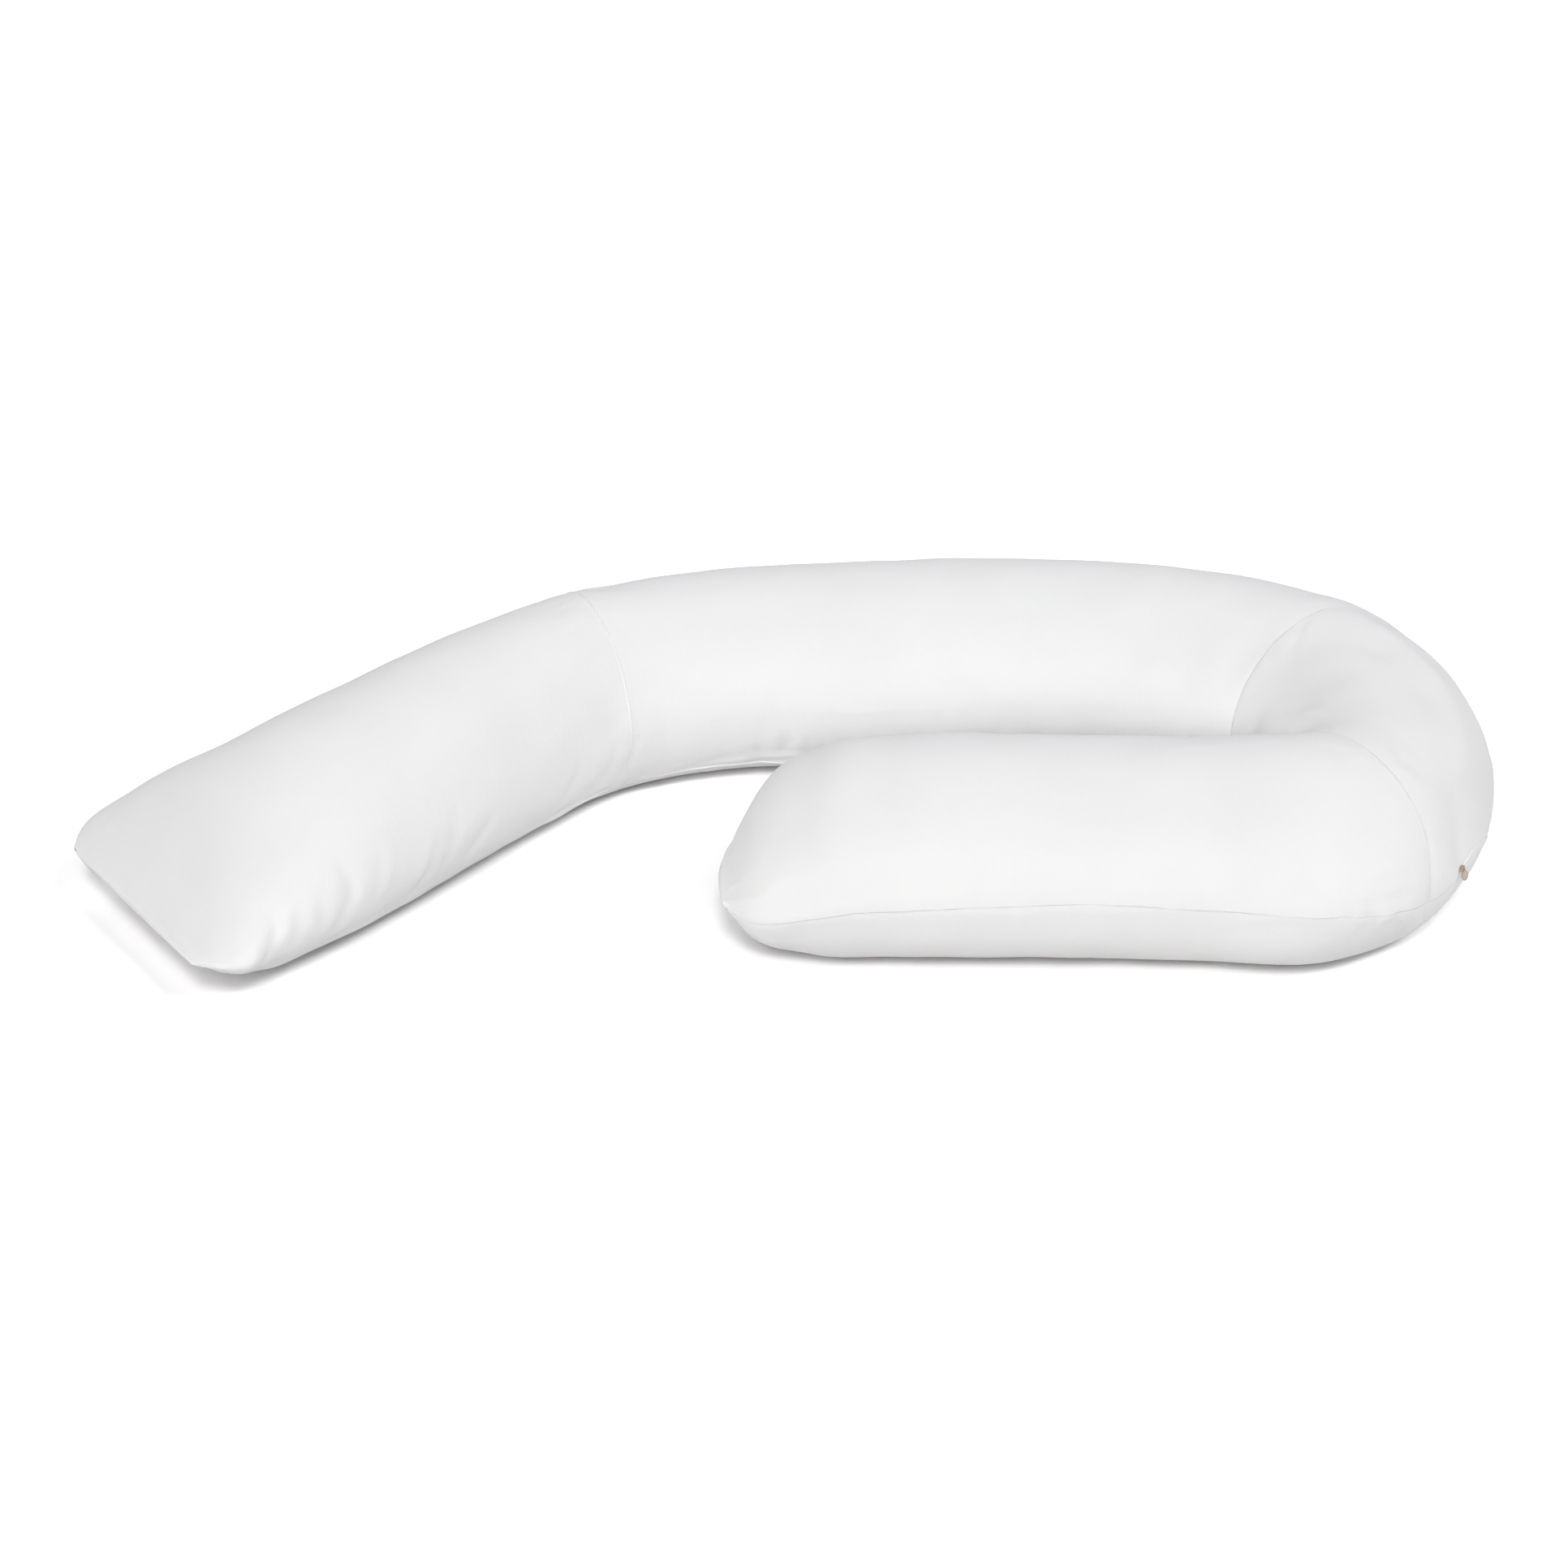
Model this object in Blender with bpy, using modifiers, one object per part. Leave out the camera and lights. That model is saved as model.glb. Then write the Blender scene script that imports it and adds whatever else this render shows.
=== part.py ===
"""Body pillow: one long filled bag that lies on the floor in the plan shape of a J.

The bag runs from its flat leg end along the leg, the long back and the bend to the end
of the short front arm, which lies beside the back. Lengths are in metres and angles in
degrees. +Z is up, the floor is z = 0 and the origin is under the middle of the bag's
bounding box.
"""
from bisect import bisect_right
from collections import namedtuple
from math import ceil, cos, exp, hypot, pi, radians, sin

import bmesh
import bpy
from mathutils import Matrix, Vector
from mathutils.bvhtree import BVHTree

# ---------------------------------------------------------------- the filled bag

Station = namedtuple("Station", "name x y heading width crown underside widest")

# One row for each section of the bag: where its middle lies on the floor plan, which way
# the bag runs there, how wide it is, and the heights of its crown, of its underside and
# of the line where it is widest.
STATIONS = (
    Station("leg end seam",    -0.627, -0.222,   36, 0.284, 0.072, 0.044, 0.058),
    Station("leg end",         -0.608, -0.208,   36, 0.320, 0.095, 0.028, 0.060),
    Station("leg end swell",   -0.572, -0.184,   36, 0.311, 0.134, 0.005, 0.070),
    Station("leg foot",        -0.500, -0.143,   38, 0.277, 0.175, 0.000, 0.085),
    Station("leg",             -0.398, -0.045,   40, 0.249, 0.194, 0.000, 0.095),
    Station("leg top",         -0.298,  0.061,   38, 0.228, 0.200, 0.000, 0.096),
    Station("leg seam",        -0.206,  0.139,   25, 0.214, 0.200, 0.000, 0.097),
    Station("back start",      -0.079,  0.190,   13, 0.222, 0.198, 0.000, 0.097),
    Station("back",             0.067,  0.206,    6, 0.240, 0.198, 0.000, 0.096),
    Station("back middle",      0.241,  0.214,    0, 0.241, 0.198, 0.000, 0.096),
    Station("back far",         0.366,  0.204,  -10, 0.240, 0.197, 0.000, 0.096),
    Station("back end",         0.466,  0.175,  -25, 0.240, 0.197, 0.000, 0.095),
    Station("back bend seam",   0.546,  0.125,  -51, 0.238, 0.196, 0.000, 0.094),
    Station("bend",             0.580,  0.062,  -74, 0.234, 0.196, 0.000, 0.093),
    Station("bend low",         0.588, -0.040, -100, 0.234, 0.196, 0.000, 0.092),
    Station("bend arm seam",    0.544, -0.157, -144, 0.228, 0.200, 0.000, 0.092),
    Station("arm start",        0.490, -0.181, -161, 0.248, 0.205, 0.000, 0.093),
    Station("arm",              0.395, -0.177, -179, 0.237, 0.199, 0.000, 0.093),
    Station("arm middle",       0.258, -0.171, -182, 0.240, 0.197, 0.000, 0.093),
    Station("arm far",          0.100, -0.169, -181, 0.240, 0.195, 0.000, 0.093),
    Station("arm end swell",    0.024, -0.166, -184, 0.234, 0.178, 0.001, 0.087),
    Station("arm end",         -0.023, -0.163, -187, 0.202, 0.140, 0.016, 0.073),
    Station("arm end seam",    -0.046, -0.160, -190, 0.158, 0.090, 0.042, 0.065),
)

CROSS_SEAMS = ("leg seam", "back bend seam", "bend arm seam")
SEAM_DRAW_IN = 0.004        # how far a cross seam pulls the bag in all round
SEAM_REACH = 0.024          # how far from the seam line that still shows
ARM_BOW = 0.018             # how far the middle of the arm's end stands out past its corners
BOW_REACH = 0.05            # how far from the end that still shows
SAG = 1.12                  # how much the underside would bulge below the floor if it could
RING_POINTS = 28            # points of the cage round the bag
RING_STEP = 0.075           # longest step of the cage along the bag
CAGE_SWELL = 1.009          # the cage stands this much outside the surface it is smoothed to

# ---------------------------------------------------------------- the zip's end

SEAT_GAP = 0.0004           # clearance of the zip's pieces to what carries them
# Distances along the zip are taken on the bag's middle line. Round the outer edge of the
# bend they come out 1.7 times as long.
ZIP_STOP = 0.034            # the slider lies this far before the bend arm seam
FLY_SPAN = 0.034            # the strip of cloth that covers the zip, behind the slider
FLY_WIDTH = 0.012
FLY_THICKNESS = 0.0018
FLY_END_WIDTH = 0.004
FLY_STEPS = 12
SLIDER_SIZE = (0.0085, 0.0065, 0.0036)      # along the zip, up and down, outwards
SLIDER_EDGE = 0.0008
TAB_LENGTH = 0.0130
TAB_ROUND = 0.0034          # radius of the tab's round lower end
TAB_NECK = 0.0016           # half the width of its upper end
TAB_THICKNESS = 0.0014
TAB_ARC_POINTS = 12

# ---------------------------------------------------------------- sections of the bag


def distances_along():
    """Distance of each station from the first one, along the bag's middle line."""
    places = [0.0]
    for here, following in zip(STATIONS, STATIONS[1:]):
        places.append(places[-1] + hypot(following.x - here.x, following.y - here.y))
    return places


ALONG = distances_along()
SEAM_ALONG = [ALONG[[row.name for row in STATIONS].index(name)] for name in CROSS_SEAMS]


def slope(column, index):
    """Slope of one column of the table at a station, from its neighbours."""
    if index == 0:
        return (column[1] - column[0]) / (ALONG[1] - ALONG[0])
    if index == len(ALONG) - 1:
        return (column[-1] - column[-2]) / (ALONG[-1] - ALONG[-2])
    before = ALONG[index] - ALONG[index - 1]
    after = ALONG[index + 1] - ALONG[index]
    rise_before = (column[index] - column[index - 1]) / before
    rise_after = (column[index + 1] - column[index]) / after
    return (rise_before * after + rise_after * before) / (before + after)


def section_at(along):
    """The section at a distance along the bag, on a smooth curve through the stations."""
    index = min(max(bisect_right(ALONG, along) - 1, 0), len(ALONG) - 2)
    span = ALONG[index + 1] - ALONG[index]
    t = (along - ALONG[index]) / span
    start_weight = 2 * t**3 - 3 * t**2 + 1
    start_slope_weight = (t**3 - 2 * t**2 + t) * span
    end_slope_weight = (t**3 - t**2) * span
    values = []
    for field in Station._fields[1:]:
        column = [getattr(row, field) for row in STATIONS]
        values.append(start_weight * column[index]
                      + (1 - start_weight) * column[index + 1]
                      + start_slope_weight * slope(column, index)
                      + end_slope_weight * slope(column, index + 1))
    return Station("", *values)


def draw_in(along):
    """How far the nearest cross seam pulls the bag in at a distance along it."""
    nearest = min(abs(along - seam) for seam in SEAM_ALONG)
    return SEAM_DRAW_IN * exp(-(2 * nearest / SEAM_REACH) ** 2)


def section_point(along, angle):
    """Point of the bag's skin. Angle 0 is its outer edge and 90 degrees its crown."""
    section = section_at(along)
    pulled = draw_in(along)
    heading = radians(section.heading)
    forward = Vector((cos(heading), sin(heading), 0))
    outward = Vector((-sin(heading), cos(heading), 0))
    across = (section.width / 2 - pulled) * CAGE_SWELL * cos(angle)
    bow = ARM_BOW * exp(-((ALONG[-1] - along) / BOW_REACH) ** 2) * sin(angle) ** 2
    if sin(angle) >= 0:
        height = section.widest + (section.crown - pulled - section.widest) * CAGE_SWELL * sin(angle)
    else:
        bulge = (section.widest - section.underside) * SAG * sin(angle)
        height = max(section.underside, section.widest + bulge, 0)
    return Vector((section.x, section.y, height)) + outward * across + forward * bow


def ring_places():
    """Where the cage has its rings: at each station, between them, and beside each seam."""
    places = set(ALONG)
    for start, end in zip(ALONG, ALONG[1:]):
        steps = ceil((end - start) / RING_STEP)
        places.update(start + (end - start) * step / steps for step in range(1, steps))
    for seam in SEAM_ALONG:
        places = {place for place in places if abs(place - seam) > 1.5 * SEAM_REACH}
        places.update((seam - SEAM_REACH, seam, seam + SEAM_REACH))
    return sorted(places)


# ---------------------------------------------------------------- objects


def fabric_or_metal(name, colour, roughness, metallic):
    """A Principled material."""
    material = bpy.data.materials.new(name)
    material.use_nodes = True
    shader = material.node_tree.nodes["Principled BSDF"]
    shader.inputs["Base Color"].default_value = (*colour, 1)
    shader.inputs["Roughness"].default_value = roughness
    shader.inputs["Metallic"].default_value = metallic
    return material


def add_object(name, bm, collection, material):
    """Make one named object of a bmesh."""
    bmesh.ops.recalc_face_normals(bm, faces=bm.faces)
    mesh = bpy.data.meshes.new(name)
    bm.to_mesh(mesh)
    bm.free()
    mesh.materials.append(material)
    mesh.shade_smooth()
    thing = bpy.data.objects.new(name, mesh)
    collection.objects.link(thing)
    return thing


def skin_rings(bm, rings):
    """Join closed rings of points, one after the other, and cap both ends."""
    loops = [[bm.verts.new(point) for point in ring] for ring in rings]
    for loop, following in zip(loops, loops[1:]):
        for side in range(len(loop)):
            other = (side + 1) % len(loop)
            bm.faces.new((loop[side], loop[other], following[other], following[side]))
    bm.faces.new(loops[0][::-1])
    bm.faces.new(loops[-1])


def make_pillow(collection):
    """The filled bag: a cage of rings, smoothed once."""
    angles = [2 * pi * step / RING_POINTS for step in range(RING_POINTS)]
    bm = bmesh.new()
    skin_rings(bm, [[section_point(along, angle) for angle in angles] for along in ring_places()])
    cotton = fabric_or_metal("white_cotton", (0.87, 0.87, 0.88), 0.85, 0.0)
    pillow = add_object("pillow", bm, collection, cotton)
    smooth = pillow.modifiers.new("smooth", "SUBSURF")
    smooth.levels = 1
    smooth.render_levels = 1
    return pillow


class Skin:
    """The bag's finished surface, for seating small pieces on it."""

    def __init__(self, pillow):
        bpy.context.view_layer.update()
        self.tree = BVHTree.FromObject(pillow, bpy.context.evaluated_depsgraph_get())

    def seat(self, along, drop):
        """Surface point at the outer edge, `drop` below the widest line, and its normal."""
        section = section_at(along)
        heading = radians(section.heading)
        outward = Vector((-sin(heading), cos(heading), 0))
        middle = Vector((section.x, section.y, section.widest - drop))
        point, normal, _, _ = self.tree.ray_cast(middle + outward * section.width, -outward)
        return point, normal

    def frame(self, along, drop):
        """A frame on the surface: x along the zip, y down the bag, z outwards."""
        point, normal = self.seat(along, drop)
        ahead, _ = self.seat(along + 0.002, drop)
        zip_way = (ahead - point).normalized()
        down = normal.cross(zip_way).normalized()
        zip_way = down.cross(normal).normalized()
        turn = Matrix((zip_way, down, normal)).transposed()
        return Matrix.Translation(point) @ turn.to_4x4()


def make_fly(collection, skin, material):
    """The strip of cloth over the zip: a crescent that hugs the bag under the seam line."""
    start = SEAM_ALONG[-1] - ZIP_STOP - SLIDER_SIZE[0] / 2 - SEAT_GAP - FLY_SPAN
    rings = []
    for step in range(FLY_STEPS + 1):
        part = step / FLY_STEPS
        width = FLY_END_WIDTH + (FLY_WIDTH - FLY_END_WIDTH) * sin(pi * part)
        ring = []
        for drop, height in ((0, 0), (0, 1), (width, 1), (width, 0)):
            point, normal = skin.seat(start + FLY_SPAN * part, drop)
            ring.append(point + normal * (SEAT_GAP + FLY_THICKNESS * height))
        rings.append(ring)
    bm = bmesh.new()
    skin_rings(bm, rings)
    return add_object("zip_fly", bm, collection, material)


def make_slider(collection, skin, material):
    """The zip's slider, a small block with soft edges on the seam line."""
    length, height, depth = SLIDER_SIZE
    bm = bmesh.new()
    bmesh.ops.create_cube(bm, size=1)
    bmesh.ops.scale(bm, vec=SLIDER_SIZE, verts=bm.verts)
    bmesh.ops.bevel(bm, geom=bm.edges, offset=SLIDER_EDGE, segments=2, affect="EDGES", profile=0.5)
    bmesh.ops.translate(bm, vec=(0, height / 2, SEAT_GAP + depth / 2), verts=bm.verts)
    bmesh.ops.transform(bm, matrix=skin.frame(SEAM_ALONG[-1] - ZIP_STOP, 0), verts=bm.verts)
    return add_object("zip_slider", bm, collection, material)


def make_tab(collection, skin, material):
    """The pull tab: a flat drop that hangs from the slider's lower edge."""
    centre = TAB_LENGTH - TAB_ROUND
    outline = [(-TAB_NECK, 0), (TAB_NECK, 0)]
    for step in range(TAB_ARC_POINTS + 1):
        angle = pi * step / TAB_ARC_POINTS
        outline.append((TAB_ROUND * cos(angle), centre + TAB_ROUND * sin(angle)))
    rings = [[Vector((x, y, z)) for x, y in outline] for z in (0, TAB_THICKNESS)]
    bm = bmesh.new()
    skin_rings(bm, rings)
    below_slider = SLIDER_SIZE[1] + SEAT_GAP
    bmesh.ops.translate(bm, vec=(0, 0, SEAT_GAP), verts=bm.verts)
    bmesh.ops.transform(
        bm, matrix=skin.frame(SEAM_ALONG[-1] - ZIP_STOP, below_slider), verts=bm.verts)
    return add_object("zip_tab", bm, collection, material)


def main():
    for thing in list(bpy.data.objects):
        bpy.data.objects.remove(thing, do_unlink=True)
    collection = bpy.data.collections.new("body_pillow")
    bpy.context.scene.collection.children.link(collection)
    pillow = make_pillow(collection)
    skin = Skin(pillow)
    make_fly(collection, skin, fabric_or_metal("white_cotton_strip", (0.85, 0.85, 0.87), 0.85, 0.0))
    make_slider(collection, skin, fabric_or_metal("zip_metal", (0.42, 0.37, 0.31), 0.4, 0.8))
    make_tab(collection, skin, fabric_or_metal("zip_tab_beige", (0.62, 0.52, 0.41), 0.55, 0.0))


main()
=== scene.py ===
"""Body pillow: cotton cover, seams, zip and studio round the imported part.

The stations of the bag are those of the part's source. Seams, ends and zip are finer here.
Lengths are in metres unless a comment says millimetres, and a turn or a heading is in
degrees. The bag runs from its leg end to the end of its front arm.
"""
from bisect import bisect_right
from collections import namedtuple
from math import cos, exp, hypot, pi, radians, sin

import bmesh
import bpy
import numpy as np
from mathutils import Matrix, Vector


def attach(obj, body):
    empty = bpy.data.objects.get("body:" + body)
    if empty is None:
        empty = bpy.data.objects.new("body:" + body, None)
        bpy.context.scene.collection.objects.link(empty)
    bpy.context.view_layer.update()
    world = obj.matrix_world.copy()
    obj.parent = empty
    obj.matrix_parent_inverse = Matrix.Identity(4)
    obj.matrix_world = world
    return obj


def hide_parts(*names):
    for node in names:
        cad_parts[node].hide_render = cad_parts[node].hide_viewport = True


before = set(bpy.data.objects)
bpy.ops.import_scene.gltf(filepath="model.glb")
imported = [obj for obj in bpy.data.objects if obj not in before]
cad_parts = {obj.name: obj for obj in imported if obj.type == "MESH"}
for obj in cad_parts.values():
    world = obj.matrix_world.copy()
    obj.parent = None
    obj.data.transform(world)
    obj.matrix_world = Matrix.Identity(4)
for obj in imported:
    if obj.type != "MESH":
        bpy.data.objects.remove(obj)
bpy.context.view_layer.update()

bl_info = {
    "name": "Body Pillow",
    "version": (1, 0, 0),
    "blender": (4, 5, 0),
    "location": "3D View > Sidebar > Pillow",
    "description": "Models a long J-shaped filled cotton pillow with its seams and zip",
    "category": "Add Mesh",
}

# ---- the bag's sections

Station = namedtuple("Station", "name x y heading width crown underside widest")

# Where the middle of each section lies on the floor plan, which way the bag runs there,
# how wide it is, and the heights of its crown, underside and widest line.
STATIONS = [Station(*row) for row in (
    ("leg end seam", -0.627, -0.222, 36, 0.284, 0.072, 0.044, 0.058),
    ("leg end", -0.608, -0.208, 36, 0.320, 0.095, 0.028, 0.060),
    ("leg end swell", -0.572, -0.184, 36, 0.311, 0.134, 0.005, 0.070),
    ("leg foot", -0.500, -0.143, 38, 0.277, 0.175, 0.000, 0.085),
    ("leg", -0.398, -0.045, 40, 0.249, 0.194, 0.000, 0.095),
    ("leg top", -0.298, 0.061, 38, 0.228, 0.200, 0.000, 0.096),
    ("leg seam", -0.206, 0.139, 25, 0.214, 0.200, 0.000, 0.097),
    ("back start", -0.079, 0.190, 13, 0.222, 0.198, 0.000, 0.097),
    ("back", 0.067, 0.206, 6, 0.240, 0.198, 0.000, 0.096),
    ("back middle", 0.241, 0.214, 0, 0.241, 0.198, 0.000, 0.096),
    ("back far", 0.366, 0.204, -10, 0.240, 0.197, 0.000, 0.096),
    ("back end", 0.466, 0.175, -25, 0.240, 0.197, 0.000, 0.095),
    ("back bend seam", 0.546, 0.125, -51, 0.238, 0.196, 0.000, 0.094),
    ("bend", 0.580, 0.062, -74, 0.234, 0.196, 0.000, 0.093),
    ("bend low", 0.588, -0.040, -100, 0.234, 0.196, 0.000, 0.092),
    ("bend arm seam", 0.544, -0.157, -144, 0.228, 0.200, 0.000, 0.092),
    ("arm start", 0.490, -0.181, -161, 0.248, 0.205, 0.000, 0.093),
    ("arm", 0.395, -0.177, -179, 0.237, 0.199, 0.000, 0.093),
    ("arm middle", 0.258, -0.171, -182, 0.240, 0.197, 0.000, 0.093),
    ("arm far", 0.100, -0.169, -181, 0.240, 0.195, 0.000, 0.093),
    ("arm end swell", 0.024, -0.166, -184, 0.234, 0.178, 0.001, 0.087),
    ("arm end", -0.023, -0.163, -187, 0.202, 0.140, 0.016, 0.073),
    ("arm end seam", -0.046, -0.160, -190, 0.158, 0.090, 0.042, 0.065),
)]
CROSS_SEAMS = ("leg seam", "back bend seam", "bend arm seam")
SEAM_DRAW_IN = 0.0015  # how far a cross seam pulls the cover in
SEAM_REACH = 0.020  # and how far from it that shows
SAG = 1.12  # the lower half is that much fuller than an ellipse

SidePoint = namedtuple("SidePoint", "along turn")

# Where the side seam runs: its angle round the bag, above (+) or below (-) the outer edge.
SIDE_SEAM = [SidePoint(*row) for row in (
    (0.000, 0.0), (1.540, 0.0), (1.575, -1.0), (1.603, -2.2), (1.612, -6.0), (1.622, -8.0),
    (1.631, -9.2), (1.645, -8.4), (1.662, -6.0), (1.685, -3.0), (1.703, 0.2), (1.754, 1.6),
    (1.799, 1.6), (1.896, 4.0), (2.008, 0.6), (2.122, -2.2), (2.155, -5.0), (2.187, -7.3),
    (2.238, -11.0))]

END_LIP = 0.007  # the sewn ends stand out past the first and last section
END_CLOSE = 0.030  # over this length the two panels come together
LEG_CORNERS = (0.020, 0.020)  # radius of the leg end's outer corner and of its inner one
ARM_CORNERS = (0.013, 0.032)  # and of the arm end's
END_THICKNESS = 0.0024  # the two layers of cloth at the end seam
ARM_BOW = 0.011  # the middle of the arm's end stands out past its corners
BOW_REACH = 0.05  # and how far from the end that shows


ALONG = [0.0]  # of each station from the first, on the middle line
for here, following in zip(STATIONS, STATIONS[1:]):
    ALONG.append(ALONG[-1] + hypot(following.x - here.x, following.y - here.y))
SEAM_ALONG = [along for row, along in zip(STATIONS, ALONG) if row.name in CROSS_SEAMS]
SIZES = np.array([row[1:] for row in STATIONS])
SLOPES = np.gradient(SIZES, ALONG, axis=0)


def section_at(along):
    """The section there along the bag, on a smooth curve through the stations."""
    index = min(max(bisect_right(ALONG, along) - 1, 0), len(ALONG) - 2)
    span = ALONG[index + 1] - ALONG[index]
    t = (along - ALONG[index]) / span
    start = 2 * t**3 - 3 * t**2 + 1
    return Station("", *(start * SIZES[index] + (1 - start) * SIZES[index + 1]
                         + (t**3 - 2 * t**2 + t) * span * SLOPES[index]
                         + (t**3 - t**2) * span * SLOPES[index + 1]))


def section_ring(along, angles):
    """A ring of points round the bag; angle 0 is its outer edge, a quarter turn its crown."""
    held = min(max(along, 0), ALONG[-1])
    section = section_at(held)
    nearest = min(abs(along - seam) for seam in SEAM_ALONG)
    pulled = SEAM_DRAW_IN * exp(-(2 * nearest / SEAM_REACH) ** 2)
    heading = radians(section.heading)
    forward = np.array((cos(heading), sin(heading), 0.0))
    outward = np.array((-sin(heading), cos(heading), 0.0))
    to_end = min(along + END_LIP, ALONG[-1] + END_LIP - along)
    full = max(1 - max(1 - to_end / END_CLOSE, 0) ** 2, 0) ** 0.6
    outer, inner = ARM_CORNERS if along > ALONG[-1] / 2 else LEG_CORNERS
    radius = np.where(np.cos(angles) > 0, outer, inner)
    inside = np.maximum(radius - to_end, 0)
    corner = radius - (radius ** 2 - inside ** 2) ** 0.5
    across = (section.width / 2 - pulled - corner) * np.cos(angles)
    rise = np.sin(angles)
    above = (section.crown - pulled - section.widest) * rise
    below = np.maximum((section.widest - section.underside) * SAG * rise,
                       section.underside - section.widest)
    height = section.widest + np.where(rise >= 0, above, below) * full
    height += np.sign(rise) * (1 - full) * END_THICKNESS / 2
    bow = ARM_BOW * exp(-((ALONG[-1] - held) / BOW_REACH) ** 2)
    ahead = along - held + bow * np.sin(angles) ** 2
    ring = np.array((section.x, section.y, 0.0)) + ahead[:, None] * forward
    ring = ring + across[:, None] * outward
    ring[:, 2] = np.maximum(height, 0)
    return ring


# ---- the grid of the cover

ROW_STEP = 0.0046  # between the cover's rings along the bag
COLUMN_STEP = 0.0044  # between its points round the bag
SEAM_STEP = 0.0022  # and both beside a seam
INNER_SEAM = 222  # the inner seam on leg and back, low and unseen
INNER_SEAM_ARM = 180  # and on the arm
TYPICAL = 0.9  # a usual section, for the spacing round the bag
WEAVE_MAP = "Weave"


def spaced(start, end, fine_places, coarse, fine, reach):
    """An even number of steps from start to end, shorter beside each fine place."""
    places = [start]
    while places[-1] < end:
        near = max(exp(-((places[-1] - fine_place) / reach) ** 2) for fine_place in fine_places)
        places.append(places[-1] + (coarse - (coarse - fine) * near))
    count = len(places) + len(places) % 2
    wanted = np.interp(np.linspace(0, 1, count + 1), np.linspace(0, 1, len(places)), places)
    return start + (wanted - start) * (end - start) / (wanted[-1] - start)


def cover_rows():
    """Distances along the bag of the cover's rings."""
    start, end = -END_LIP, ALONG[-1] + END_LIP
    return spaced(start, end, (start, *SEAM_ALONG, end), ROW_STEP, SEAM_STEP * 0.8, reach=0.016)


def inner_seam_turn(along):
    """The inner seam's angle in degrees: low beside leg and back, level on the arm."""
    t = np.clip((np.asarray(along) - SEAM_ALONG[1]) / (SEAM_ALONG[2] - SEAM_ALONG[1]), 0, 1)
    t = t * t * (3 - 2 * t)
    return INNER_SEAM + (INNER_SEAM_ARM - INNER_SEAM) * t


def side_turn(along):
    """The side seam's angle in degrees at a distance along the bag."""
    return np.interp(along, *zip(*SIDE_SEAM))


def run_of(points, axis=0):
    """Distance run along lines of points."""
    steps = np.linalg.norm(np.diff(points, axis=axis), axis=-1)
    return np.insert(np.cumsum(steps, axis=axis), 0, 0, axis=axis)


def cover_angles():
    """Angles of the cover's columns, from below over the crown and round again."""
    angles = np.radians(np.linspace(-90, 270, 1441))
    arc = run_of(section_ring(TYPICAL, angles))
    seams = np.interp(np.radians([0, INNER_SEAM_ARM, INNER_SEAM]), angles, arc)
    places = spaced(0, arc[-1], seams, COLUMN_STEP, SEAM_STEP, reach=0.011)
    return np.interp(places, arc, angles)[:-1]


def unit(vectors):
    """The vectors at length one."""
    return vectors / np.maximum(np.linalg.norm(vectors, axis=-1, keepdims=True), 1e-12)


def normals_of(grid):
    """Outward normals of a grid that closes on itself round the bag."""
    wrapped = np.concatenate((grid[:, -1:], grid, grid[:, :1]), axis=1)
    return unit(np.cross(wrapped[:, 2:] - wrapped[:, :-2], np.gradient(grid, axis=0)))


def cover_mesh(name, grid):
    """A closed mesh of a grid of rings, with both ends capped."""
    index = np.arange(grid.shape[0] * grid.shape[1]).reshape(grid.shape[:2])
    following = np.roll(index, -1, axis=1)
    quads = np.stack((index[:-1], index[1:], following[1:], following[:-1]), axis=-1)
    faces = quads.reshape(-1, 4).tolist() + [index[0].tolist(), index[-1][::-1].tolist()]
    mesh = bpy.data.meshes.new(name)
    mesh.from_pydata(grid.reshape(-1, 3), [], faces)
    return mesh


def lay_weave_map(mesh, rows, grid):
    """A UV map in metres: along the bag and round it, for the weave to follow."""
    closed = np.concatenate((grid, grid[:, :1]), axis=1)
    arc = run_of(closed, 1)
    uv = np.stack((np.repeat(rows[:, None], arc.shape[1], axis=1), arc), -1)
    sides = np.stack((uv[:-1, :-1], uv[1:, :-1], uv[1:, 1:], uv[:-1, 1:]), axis=2)
    values = np.concatenate([sides.reshape(-1, 2), uv[0, :-1], uv[-1, :-1][::-1]])
    layer = mesh.uv_layers.new(name=WEAVE_MAP)
    layer.data.foreach_set("uv", values.astype(np.float32).ravel())


# ---- cloth

SETTLE_FRAMES = 20  # the last frame of the cloth simulation
PUCKER_CAP = 0.0025  # no point of the cover moves further than this
SEAM_PULL = 0.022  # the puckers fade over this distance from a seam
OPEN_CLOTH = 0.12  # what is left of them far from any seam
PUCKER_SPREAD = 6  # coarse cells over which broad swelling is removed
ON_FLOOR = 0.002  # cloth below this height is held by the floor
FLOOR_HOLD = 0.012  # and puckers and folds fade out below this one
# Percale in the simulation's terms: light, hard to stretch and soft to bend.
CLOTH = {"quality": 6, "mass": 0.15, "tension_stiffness": 15, "compression_stiffness": 15,
         "shear_stiffness": 5, "bending_stiffness": 0.05, "vertex_group_mass": "seams",
         "use_pressure": True}


def blurred(field, cells):
    """A grid's values averaged over neighbours, closing on itself round the bag."""
    reach = 3 * cells
    offsets = np.arange(-reach, reach + 1)
    weights = np.exp(-0.5 * (offsets / cells) ** 2)
    weights /= weights.sum()
    padded = np.pad(field, ((reach, reach), (0, 0), (0, 0)), mode="edge")
    rows = sum(weight * padded[reach + offset:reach + offset + len(field)]
               for weight, offset in zip(weights, offsets))
    return sum(weight * np.roll(rows, -offset, axis=1)
               for weight, offset in zip(weights, offsets))


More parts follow.
